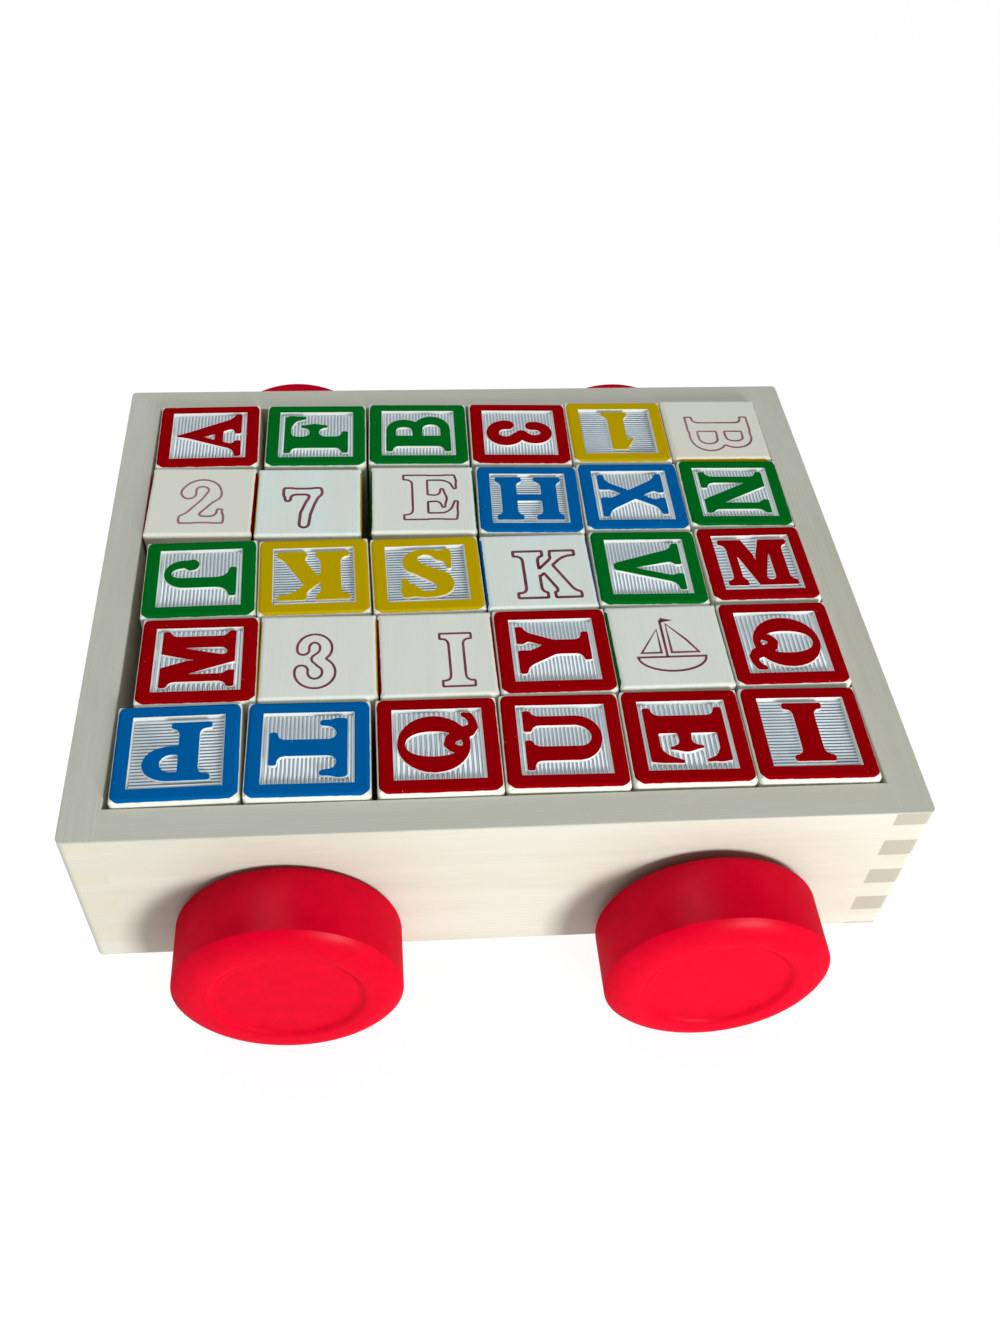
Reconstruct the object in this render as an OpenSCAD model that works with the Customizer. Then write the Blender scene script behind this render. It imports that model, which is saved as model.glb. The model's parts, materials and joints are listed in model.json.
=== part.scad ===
// Alphabet block cart: painted letter cubes in a finger-jointed wooden tray on four turned wheels.
// Millimetres, +Z up. The origin is on the ground under the middle of the cart.
// The cart rolls along X. The axles lie along Y, and the near row of blocks is at -Y.

/* [Blocks] */
// Side of one cube
block_side = 38; // [30:1:50]
// Radius of a cube's rounded edges
block_round = 1.6; // [0.8:0.2:2.4]
// Width of the flat border round a sunk letter square
face_border = 5; // [3:0.5:8]
// Depth of a sunk letter square
recess_depth = 1.4; // [0.8:0.2:2.4]
// How far the walls of a sunk square lean in from mouth to floor
recess_lean = 0.5; // [0.1:0.1:1.4]
// How far the cubes stand above the tray's rim
block_proud = 2; // [0.5:0.5:6]

/* [Tray] */
// Spare room along the tray, shared out in the gaps of a row
play_along = 7; // [4:0.5:12]
// Spare room across the tray, shared out in the gaps of a column
play_across = 5.4; // [3:0.1:10]
// Thickness of the four walls
wall = 12; // [9:0.2:16]
// Height of a full finger in the corner joints
finger = 7.85; // [5:0.05:12]
// Height of the shorter finger at the rim
top_finger = 5.8; // [4:0.1:8]
// Radius of the tray's upright outer corners
corner_round = 2.5; // [1:0.5:8]
// Radius of the eased edges along the rim and the bottom
edge_round = 0.5; // [0.3:0.1:2]
// Thickness of the floor panel
floor_thick = 4; // [3:0.5:6]
// Height of the floor panel's top above the walls' bottom edge
floor_rise = 25.8; // [22:0.2:40]
// Depth of the groove that holds the floor panel
groove_depth = 5; // [2:0.5:7]

/* [Wheels] */
// Diameter of a wheel
wheel_d = 71; // [60:1:90]
// Thickness of a wheel at its rim
wheel_thick = 26; // [20:0.5:34]
// Width of the crowned edge on a wheel's outer face
crown_width = 8; // [5:0.5:10]
// How far that edge falls back where it meets the tread
crown_drop = 3.4; // [2:0.2:4.6]
// Radius of the rounded edge on a wheel's inner face
inner_round = 2.5; // [1:0.5:5]
// Diameter of the flat floor of the dish in a wheel's outer face
dish_d = 42; // [24:1:46]
// Width of the soft step round the dish
dish_slope = 4.4; // [3.2:0.2:6]
// Depth of the dish
dish_depth = 1.6; // [0.5:0.1:3]

/* [Axles] */
// Diameter of an axle dowel
axle_d = 9; // [6:0.5:10]
// Running clearance round an axle in the walls, on the radius
axle_clearance = 0.1; // [0.05:0.01:0.1]
// Height of the axles above the walls' bottom edge
axle_rise = 12.5; // [8:0.5:14]
// How far each axle lies in from its end of the tray
axle_inset = 62.8; // [50:0.2:76]
// Depth that an axle's end is glued into a wheel
axle_seat = 16; // [8:0.5:17]
// Glue gap round an axle's end in a wheel, on the radius
glue_gap = 0.05; // [0.02:0.01:0.1]
// Running clearance between a wheel and its wall, with the axle centred
side_clearance = 1.55; // [1:0.05:2.5]

/* [Hidden] */
$fn = 64;

// Rows of blocks from front to back, as a person would call them
row_names = ["front_row", "second_row", "middle_row", "fourth_row", "back_row"];

// Painted colour of each block's top, "plain" where the top is bare wood with an outline on it
tops = [
    ["blue", "blue", "red", "red", "red", "red"],
    ["red", "plain", "plain", "red", "plain", "red"],
    ["green", "gold", "gold", "plain", "green", "red"],
    ["plain", "plain", "plain", "blue", "blue", "green"],
    ["red", "green", "green", "red", "gold", "plain"]
];

// Direction that each block's two sunk faces look along, up and down wherever the top is painted
sunk_axes = [
    ["z", "z", "z", "z", "z", "z"],
    ["z", "x", "x", "z", "x", "z"],
    ["z", "z", "z", "x", "z", "z"],
    ["x", "x", "x", "z", "z", "z"],
    ["z", "z", "z", "z", "z", "y"]
];

// Each block's place along its row, as a share of the play along the tray
along_share = [
    [0.20, 0.38, 0.60, 0.68, 0.76, 0.84],
    [0.72, 0.77, 0.82, 0.87, 0.92, 0.955],
    [0.44, 0.50, 0.60, 0.68, 0.79, 0.94],
    [0.10, 0.18, 0.66, 0.78, 0.845, 0.92],
    [0.15, 0.50, 0.64, 0.79, 0.85, 0.92]
];

// Each block's place in its column, as a share of the play across the tray
across_share = [
    [0.10, 0.08, 0.07, 0.12, 0.16, 0.14],
    [0.17, 0.16, 0.14, 0.22, 0.32, 0.38],
    [0.25, 0.25, 0.25, 0.30, 0.44, 0.66],
    [0.79, 0.55, 0.62, 0.50, 0.64, 0.81],
    [0.93, 0.88, 0.90, 0.80, 0.84, 0.93]
];

// Each block's turn about the upright, as a share of the most that the play across allows
turn_share = [
    [0.6, -0.36, 0, -0.42, -0.3, -0.54],
    [0.24, -0.12, 0.3, 0.12, 0.24, 0.06],
    [0.72, 0.6, 0.72, 0.36, -0.48, 0.18],
    [-0.72, -0.48, -0.54, -0.96, -0.48, -0.72],
    [0.48, -0.36, -0.66, -0.9, -0.48, -0.42]
];

// How far the left and the right axle have slid towards the back, as a share of the running clearance
slide_share = [0.8, -0.8];

rows = len(row_names);
columns = len(along_share[0]);
most_turn = atan(min(play_across / rows, play_along / columns) / block_side);

// Tray sizes
inner_length = columns * block_side + play_along;
inner_width = rows * block_side + play_across;
tray_length = inner_length + 2 * wall;
tray_width = inner_width + 2 * wall;
tray_height = floor_rise + block_side - block_proud;

// Heights above the ground
axle_z = wheel_d / 2;
tray_z = axle_z - axle_rise;
floor_z = tray_z + floor_rise;

// Places of the wheels and the axles
wheel_y = tray_width / 2 + side_clearance;
axle_x = tray_length / 2 - axle_inset;
axle_length = 2 * (wheel_y + axle_seat);
function slide(x_side) = slide_share[x_side < 0 ? 0 : 1] * side_clearance;

// One overrun for every cut
cut = 1;

function block_name(r, c) = str(row_names[r], "_block_", c + 1);

// Rectangle about its centre with four round corners
module round_rect(length, width, radius) {
    square([length - 2 * radius, width], center = true);
    square([length, width - 2 * radius], center = true);
    for (x = [-1, 1], y = [-1, 1])
        translate([x * (length / 2 - radius), y * (width / 2 - radius)]) circle(radius);
}

// Stands a flat outline up and draws it out along Y, or along X, about the origin
module along_y(length) {
    rotate([90, 0, 0]) linear_extrude(length, center = true) children();
}
module along_x(length) {
    rotate([0, 0, 90]) along_y(length) children();
}

// Block about the origin, rounded on its twelve edges, with sunk squares above and below
module cube_body() {
    far = block_side + 2 * cut;
    intersection() {
        linear_extrude(far, center = true) round_rect(block_side, block_side, block_round);
        along_y(far) round_rect(block_side, block_side, block_round);
        along_x(far) round_rect(block_side, block_side, block_round);
    }
}
module sunk_square() {
    mouth = block_side / 2 - face_border;
    lean = recess_lean / recess_depth;
    profile = [
        [-mouth + recess_lean, -recess_depth],
        [mouth - recess_lean, -recess_depth],
        [mouth + cut * lean, cut],
        [-mouth - cut * lean, cut]
    ];
    intersection() {
        along_y(block_side) polygon(profile);
        along_x(block_side) polygon(profile);
    }
}
module letter_cube() {
    difference() {
        cube_body();
        for (side = [0, 180]) rotate([side, 0, 0]) translate([0, 0, block_side / 2]) sunk_square();
    }
}

// Block in row r and column c of the tray, lying as it was dropped in
module letter_block(r, c) {
    x = -inner_length / 2 + (c + 0.5) * block_side + along_share[r][c] * play_along;
    y = -inner_width / 2 + (r + 0.5) * block_side + across_share[r][c] * play_across;
    tilt = sunk_axes[r][c] == "y" ? [90, 0, 0] : sunk_axes[r][c] == "x" ? [0, 90, 0] : [0, 0, 0];
    color(tops[r][c] == "plain" ? "wheat" : tops[r][c])
        translate([x, y, floor_z + block_side / 2])
            rotate([0, 0, turn_share[r][c] * most_turn])
                rotate(tilt)
                    letter_cube();
}

// The four walls as one ring, before the corner joints part them
module ring_hollow() {
    depth = tray_height + 2 * cut;
    module flared(width) {
        square([width, depth], center = true);
        for (x = [-1, 1])
            difference() {
                translate([x * (width / 2 + edge_round / 2), tray_height / 2])
                    square([edge_round, 2 * edge_round], center = true);
                translate([x * (width / 2 + edge_round), tray_height / 2 - edge_round])
                    circle(edge_round);
            }
    }
    intersection() {
        along_y(tray_width) flared(inner_length);
        along_x(tray_length) flared(inner_width);
    }
}
module ring() {
    difference() {
        translate([0, 0, tray_z + tray_height / 2])
            difference() {
                intersection() {
                    linear_extrude(tray_height, center = true)
                        round_rect(tray_length, tray_width, corner_round);
                    along_y(tray_width) round_rect(tray_length, tray_height, edge_round);
                    along_x(tray_length) round_rect(tray_width, tray_height, edge_round);
                }
                ring_hollow();
            }
        panel_blank();
        for (x = [-1, 1])
            translate([x * axle_x, 0, axle_z])
                along_y(tray_width + 2 * cut) circle(axle_d / 2 + axle_clearance);
    }
}

// Floor panel, and the shape of the groove that it fills
module panel_blank() {
    translate([0, 0, floor_z - floor_thick / 2])
        cube([inner_length + 2 * groove_depth, inner_width + 2 * groove_depth, floor_thick], center = true);
}
module floor_panel() {
    color("burlywood") panel_blank();
}

// Heights of the finger joints, counted down from the rim
finger_tops = [0, for (d = [top_finger : finger : tray_height]) d];
function finger_bottom(i) = i + 1 < len(finger_tops) ? finger_tops[i + 1] : tray_height;

// The fingers of the walls that start at the rim when first is 0, or one finger lower when it is 1
module fingers(first, length, width) {
    for (i = [first : 2 : len(finger_tops) - 1])
        translate([-length / 2, -width / 2, tray_z + tray_height - finger_bottom(i)])
            cube([length, width, finger_bottom(i) - finger_tops[i]]);
}

// Left and right walls own the finger at the rim
module end_wall(side) {
    color("antiquewhite")
        intersection() {
            ring();
            translate([side * (tray_length - wall) / 2, 0, 0]) {
                fingers(0, wall, tray_width);
                translate([-wall / 2, -inner_width / 2, tray_z]) cube([wall, inner_width, tray_height]);
            }
        }
}
module long_wall(side) {
    color("antiquewhite")
        intersection() {
            ring();
            translate([0, side * (tray_width - wall) / 2, 0]) {
                fingers(1, tray_length, wall);
                translate([-inner_length / 2, -wall / 2, tray_z]) cube([inner_length, wall, tray_height]);
            }
        }
}

// Dish turned into a wheel's outer face: its step is a cove at the foot and a round at the lip
module dish_cut() {
    dish = dish_d / 2;
    half = [dish_slope / 2, dish_depth / 2];
    bend = dish_slope / 2 / sin(2 * atan(dish_depth / dish_slope));
    difference() {
        translate([0, wheel_thick - dish_depth]) square([dish + half.x, dish_depth + cut]);
        difference() {
            translate([dish, wheel_thick - dish_depth]) square(half);
            translate([dish, wheel_thick - dish_depth + bend]) circle(bend);
        }
    }
    difference() {
        translate([dish + half.x, wheel_thick - half.y]) square([half.x, half.y + cut]);
        translate([dish + dish_slope, wheel_thick - bend]) circle(bend);
    }
}

// Turned wheel: the lathe profile is half of the section, with the outer face at the top
// The crown is an arc that leaves the face smoothly and meets the tread in an arris
module wheel_profile() {
    rim = wheel_d / 2;
    shoulder = wheel_thick - crown_drop;
    sweep = (pow(crown_width, 2) + pow(crown_drop, 2)) / (2 * crown_drop);
    difference() {
        union() {
            square([rim - inner_round, shoulder]);
            translate([0, inner_round]) square([rim, shoulder - inner_round]);
            translate([rim - inner_round, inner_round]) circle(inner_round);
            square([rim - crown_width, wheel_thick]);
            translate([rim - crown_width, shoulder])
                intersection() {
                    square([crown_width, crown_drop]);
                    translate([0, crown_drop - sweep]) circle(sweep);
                }
        }
        dish_cut();
        translate([0, -cut]) square([axle_d / 2 + glue_gap, axle_seat + cut]);
    }
}
module wheel(x_side, y_side) {
    color("crimson")
        translate([x_side * axle_x, y_side * wheel_y + slide(x_side), axle_z])
            rotate([-90 * y_side, 0, 0])
                rotate_extrude() wheel_profile();
}
module axle(x_side) {
    color("burlywood")
        translate([x_side * axle_x, slide(x_side), axle_z]) along_y(axle_length) circle(axle_d / 2);
}

long_wall(-1);  // front_wall
long_wall(1);  // back_wall
end_wall(-1);  // left_wall
end_wall(1);  // right_wall
floor_panel();
axle(-1);  // left_axle
axle(1);  // right_axle
wheel(-1, -1);  // front_left_wheel
wheel(1, -1);  // front_right_wheel
wheel(-1, 1);  // back_left_wheel
wheel(1, 1);  // back_right_wheel
for (r = [0 : rows - 1]) for (c = [0 : columns - 1])
    letter_block(r, c);
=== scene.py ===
import cmath
import json
import math

import bpy
import numpy as np
from mathutils import Euler, Matrix, Vector, geometry


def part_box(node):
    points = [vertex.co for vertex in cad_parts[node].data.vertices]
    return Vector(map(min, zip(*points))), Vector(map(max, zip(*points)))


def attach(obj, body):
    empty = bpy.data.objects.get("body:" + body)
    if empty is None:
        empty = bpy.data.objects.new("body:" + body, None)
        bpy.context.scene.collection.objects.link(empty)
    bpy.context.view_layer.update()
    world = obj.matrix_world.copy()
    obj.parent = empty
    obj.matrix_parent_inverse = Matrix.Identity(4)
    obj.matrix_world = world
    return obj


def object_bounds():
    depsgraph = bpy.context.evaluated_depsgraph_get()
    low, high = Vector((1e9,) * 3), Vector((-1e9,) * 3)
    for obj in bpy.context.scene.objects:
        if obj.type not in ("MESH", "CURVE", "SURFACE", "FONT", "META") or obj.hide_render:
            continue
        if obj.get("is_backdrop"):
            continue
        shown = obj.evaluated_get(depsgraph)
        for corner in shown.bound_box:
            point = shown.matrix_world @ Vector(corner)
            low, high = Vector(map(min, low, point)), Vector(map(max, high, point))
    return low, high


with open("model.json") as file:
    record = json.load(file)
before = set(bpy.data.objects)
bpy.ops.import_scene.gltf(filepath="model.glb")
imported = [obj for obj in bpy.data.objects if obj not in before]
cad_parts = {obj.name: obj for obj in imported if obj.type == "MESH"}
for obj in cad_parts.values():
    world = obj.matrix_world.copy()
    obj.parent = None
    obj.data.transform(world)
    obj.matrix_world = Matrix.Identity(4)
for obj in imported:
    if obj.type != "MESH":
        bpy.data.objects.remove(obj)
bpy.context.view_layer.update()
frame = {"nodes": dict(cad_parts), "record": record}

# Tray walls
# Four planed maple boards with fingers cut at the corners, glued, sanded flush and eased along the rim.
# A thin clear lacquer leaves the wood satin, with the grain along each board and dull ends to the fingers.
MM = 0.001
MAPLE_PALE, MAPLE_DARK = "CDCCBF", "C2C0AE"
# The axis that each board's grain runs along, and the tone of its sawn ends
BOARDS = {"front_wall": (0, "B6B2A2"), "back_wall": (0, "B6B2A2"), "left_wall": (1, "C8C4B2"),
          "right_wall": (1, "A9A594")}
STREAK_WIDTH, STREAK_LENGTH, STREAK_SHARE = 0.8 * MM, 22 * MM, 0.55
BAND_WIDTH, BAND_LENGTH, BAND_SHARE = 16 * MM, 190 * MM, 0.6
# From the palest grain to the darkest, and from side grain to end grain
GRAIN_SPAN, END_SPAN = {"From Min": 0.42, "From Max": 0.78}, {"From Min": 0.75, "From Max": 0.95}


def linear(colour):
    """An sRGB colour written as six hex digits, as the linear colour that a socket takes."""
    parts = [int(colour[i:i + 2], 16) / 255 for i in (0, 2, 4)]
    return (*(c / 12.92 if c <= 0.04045 else ((c + 0.055) / 1.055) ** 2.4 for c in parts), 1)


def add_node(tree, kind, inputs=None, **settings):
    """A new node with its settings, and with each input set to a value or linked from a node or socket."""
    node = tree.nodes.new(kind)
    for name, value in settings.items():
        setattr(node, name, value)
    for name, value in (inputs or {}).items():
        if isinstance(value, bpy.types.Node):
            value = value.outputs[0]
        if isinstance(value, bpy.types.NodeSocket):
            tree.links.new(value, node.inputs[name])
        else:
            node.inputs[name].default_value = value
    return node


def new_material(name):
    """A material, its node tree, its shader and the object's own coordinates."""
    material = bpy.data.materials.new(name)
    material.use_nodes = True
    tree = material.node_tree
    place = add_node(tree, "ShaderNodeTexCoord").outputs["Object"]
    return material, tree, tree.nodes["Principled BSDF"], place


def wood_grain(tree, place, along, pale, dark, end, normal_along):
    """Colour and height of planed wood whose grain runs along axis 0, 1 or 2 of a place."""
    def stretched(width, length):
        return {"Vector": place, "Scale": [1 / (length if axis == along else width) for axis in range(3)]}

    fine = add_node(tree, "ShaderNodeMapping", stretched(STREAK_WIDTH, STREAK_LENGTH))
    streaks = add_node(tree, "ShaderNodeTexNoise",
                       {"Vector": fine, "Scale": 1, "Detail": 4, "Roughness": 0.65})
    broad = add_node(tree, "ShaderNodeMapping", stretched(BAND_WIDTH, BAND_LENGTH))
    bands = add_node(tree, "ShaderNodeTexNoise",
                     {"Vector": broad, "Scale": 1, "Detail": 2, "Distortion": 0.6})
    both = add_node(tree, "ShaderNodeMath", {0: streaks, 1: STREAK_SHARE}, operation="MULTIPLY")
    both = add_node(tree, "ShaderNodeMath", {0: bands, 1: BAND_SHARE, 2: both}, operation="MULTIPLY_ADD")
    tone = add_node(tree, "ShaderNodeMapRange", {"Value": both, **GRAIN_SPAN})
    face = add_node(tree, "ShaderNodeMix", {0: tone, 6: linear(pale), 7: linear(dark)}, data_type="RGBA")
    normal = add_node(tree, "ShaderNodeNewGeometry").outputs["Normal"]
    facing = add_node(tree, "ShaderNodeVectorMath", {0: normal, 1: normal_along}, operation="DOT_PRODUCT")
    facing = add_node(tree, "ShaderNodeMath", {0: facing.outputs["Value"]}, operation="ABSOLUTE")
    at_end = add_node(tree, "ShaderNodeMapRange", {"Value": facing, **END_SPAN})
    colour = add_node(tree, "ShaderNodeMix", {0: at_end, 6: face.outputs[2], 7: linear(end)},
                      data_type="RGBA")
    return colour.outputs[2], streaks


def maple(name, along, end):
    """Satin maple: fine streaks and broad bands along the board, a faint relief, and duller ends."""
    material, tree, shader, place = new_material(name)
    axis = [float(i == along) for i in range(3)]
    colour, streaks = wood_grain(tree, place, along, MAPLE_PALE, MAPLE_DARK, end, axis)
    bump = add_node(tree, "ShaderNodeBump", {"Height": streaks, "Strength": 0.25, "Distance": 0.05 * MM})
    tree.links.new(colour, shader.inputs["Base Color"])
    tree.links.new(bump.outputs[0], shader.inputs["Normal"])
    shader.inputs["Roughness"].default_value = 0.5
    shader.inputs["Specular IOR Level"].default_value = 0.2
    return material


def finish_node(node, material):
    """Gives a CAD node one material."""
    for slot in frame["nodes"][node].material_slots:
        slot.material = material


for wall, (along, end) in BOARDS.items():
    finish_node(wall, maple(f"lacquered_maple_{wall}", along, end))

# Floor panel
# A sheet of thin birch plywood that slides into the grooves of the walls before the last one is glued.
# It is sanded but not lacquered, so it is duller and yellower than the boards.
PLY_PALE, PLY_DARK = "D9C7A0", "BBA377"
material, tree, shader, place = new_material("sanded_birch_plywood")
colour, streaks = wood_grain(tree, place, 0, PLY_PALE, PLY_DARK, PLY_DARK, (1, 0, 0))
tree.links.new(colour, shader.inputs["Base Color"])
shader.inputs["Roughness"].default_value = 0.7
finish_node("floor_panel", material)

# Axles
# Two beech dowels that turn in holes through the long walls, with a wheel glued on each end.
# They are left bare and sanded, with fine grain along the dowel.
BEECH_PALE, BEECH_DARK = "D8BE94", "B8965F"
material, tree, shader, place = new_material("bare_beech_dowel")
colour, streaks = wood_grain(tree, place, 1, BEECH_PALE, BEECH_DARK, BEECH_DARK, (0, 1, 0))
tree.links.new(colour, shader.inputs["Base Color"])
shader.inputs["Roughness"].default_value = 0.6
for axle in ("left_axle", "right_axle"):
    finish_node(axle, material)

# Wheels
# Four turned wooden wheels with a shallow dish, dipped in red enamel that levels to a soft gloss.
# Faint rings of the lathe and a little orange peel show through the enamel.
ENAMEL_RED, ENAMEL_DEEP = "DA0028", "BE001C"
LATHE_PITCH, PEEL_SIZE, CLOUD_SIZE = 0.8 * MM, 2.2 * MM, 4.4 * MM
# How strong the rings are beside the orange peel, and the metres between a wave's rings at a scale of 1
RING_SHARE, WAVE_REPEAT = 0.3, 0.314


def enamel(name, middle):
    """Red enamel with a hazy gloss, a slightly cloudy tone, and the lathe's rings about a middle."""
    material, tree, shader, place = new_material(name)
    centred = add_node(tree, "ShaderNodeMapping", {"Vector": place, "Location": -middle})
    rings = add_node(tree, "ShaderNodeTexWave",
                     {"Vector": centred, "Scale": WAVE_REPEAT / LATHE_PITCH, "Distortion": 0.6},
                     wave_type="RINGS", rings_direction="Y")
    peel = add_node(tree, "ShaderNodeTexNoise", {"Vector": place, "Scale": 1 / PEEL_SIZE, "Detail": 3})
    cloud = add_node(tree, "ShaderNodeTexNoise", {"Vector": place, "Scale": 1 / CLOUD_SIZE, "Detail": 3})
    colour = add_node(tree, "ShaderNodeMix", {0: cloud, 6: linear(ENAMEL_RED), 7: linear(ENAMEL_DEEP)},
                      data_type="RGBA").outputs[2]
    height = add_node(tree, "ShaderNodeMath", {0: rings, 1: RING_SHARE, 2: peel}, operation="MULTIPLY_ADD")
    bump = add_node(tree, "ShaderNodeBump", {"Height": height, "Strength": 0.5, "Distance": 0.06 * MM})
    tree.links.new(colour, shader.inputs["Base Color"])
    tree.links.new(bump.outputs[0], shader.inputs["Normal"])
    shader.inputs["Roughness"].default_value = 0.45
    shader.inputs["Specular IOR Level"].default_value = 0
    shader.inputs["Coat Weight"].default_value = 0.09
    shader.inputs["Coat Roughness"].default_value = 0.32
    return material


for side in ("left", "right"):
    low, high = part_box(f"front_{side}_wheel")
    red = enamel(f"red_enamel_on_turned_wood_{side}", (low + high) / 2)
    for end in ("front", "back"):
        finish_node(f"{end}_{side}_wheel", red)

# Block bodies
# Cubes of basswood with rounded edges. The two faces with a sunk square are roller-painted, so the colour
# lies on the flat border alone, stops short of the rounded edge, and misses a few pores.
# The last tone is painted shade: a greyer, cooler wood for the walls and floors of the sunk squares
BASSWOOD_PALE, BASSWOOD_DARK, BASSWOOD_END, SUNK_SHADE_TONE = "EAEDE1", "E2E6DA", "DFDAC8", "DFE3DF"
# A few blocks come from a cooler or a warmer plank
COOL_WOOD, WARM_WOOD = "E4F0EA", "E9E4D2"
TINTS = {"middle_row_block_4": COOL_WOOD, "fourth_row_block_2": COOL_WOOD, "fourth_row_block_1": WARM_WOOD,
         "back_row_block_6": WARM_WOOD}
# The grain is shifted by this many times a block's place, so that no two blocks show the same piece of it
PLANK_STEP = 10
BORDER, SUNK_DEPTH = 5 * MM, 1.4 * MM
PAINTS = {"red": "980008", "green": "006B20", "blue": "0060A4", "yellow": "C2A400"}
# The paint stops this far from the block's sides, rounds its corners, and reaches this far down an edge
PAINT_MARGIN, PAINT_CORNER, PAINT_REACH = 0.4 * MM, 3 * MM, 0.7 * MM
# Its outer edge wavers by a little
PAINT_WOBBLE, WOBBLE_LENGTH = 0.3 * MM, 2.5 * MM
FLECK_SIZE, FLECK_SPAN = 0.7 * MM, {"From Min": 0.76, "From Max": 0.8}
# The part of a face's normal that lies along an axis, for a face square to it and for one that runs along it
SQUARE_TO, ALONGSIDE = 0.999, 0.01
ROWS = ("front_row", "second_row", "middle_row", "fourth_row", "back_row")
blocks = [f"{row}_block_{number}" for row in ROWS for number in range(1, 7)]
slots = {part["node"]: part["material_slot"] for part in frame["record"]["subparts"]}
low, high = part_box(blocks[0])
BLOCK = high.z - low.z


def lie_of(node):
    """Where a block lies: its centre and its turn about the upright, and the axis of its two sunk faces."""
    low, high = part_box(node)
    centre = (low + high) / 2
    mesh = frame["nodes"][node].data
    turn = sum(p.area * cmath.exp(4j * math.atan2(p.normal.y, p.normal.x)) for p in mesh.polygons
               if abs(p.normal.z) < ALONGSIDE)
    upright = Matrix.Translation(centre) @ Matrix.Rotation(cmath.phase(turn) / 4, 4, "Z")
    back = upright.inverted()
    outer = [0, 0, 0]
    for p in mesh.polygons:
        spot, way = back @ p.center, back.to_3x3() @ p.normal
        for axis in range(3):
            if abs(way[axis]) > SQUARE_TO and abs(spot[axis]) > BLOCK / 2 - SUNK_DEPTH / 2:
                outer[axis] += p.area
    return upright, outer.index(min(outer))


def edge_distance(tree, place, reach, corner):
    """Signed distance in X and Y from a square with round corners, negative inside."""
    apart = add_node(tree, "ShaderNodeVectorMath", {0: place}, operation="ABSOLUTE")
    apart = add_node(tree, "ShaderNodeVectorMath", {0: apart, 1: (reach - corner, reach - corner, 1)},
                     operation="SUBTRACT")
    beyond = add_node(tree, "ShaderNodeVectorMath", {0: apart, 1: (0, 0, 0)}, operation="MAXIMUM")
    length = add_node(tree, "ShaderNodeVectorMath", {0: beyond}, operation="LENGTH").outputs["Value"]
    split = add_node(tree, "ShaderNodeSeparateXYZ", {0: apart}).outputs
    inner = add_node(tree, "ShaderNodeMath", {0: split[0], 1: split[1]}, operation="MAXIMUM")
    inner = add_node(tree, "ShaderNodeMath", {0: inner, 1: 0}, operation="MINIMUM")
    total = add_node(tree, "ShaderNodeMath", {0: length, 1: inner}, operation="ADD")
    return add_node(tree, "ShaderNodeMath", {0: total, 1: corner}, operation="SUBTRACT")


def missed_pores(tree, place):
    """Share of bare wood in a coat of roller paint: a few small flecks."""
    flecks = add_node(tree, "ShaderNodeTexNoise", {"Vector": place, "Scale": 1 / FLECK_SIZE, "Detail": 2})
    return add_node(tree, "ShaderNodeMapRange", {"Value": flecks, **FLECK_SPAN})


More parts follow.
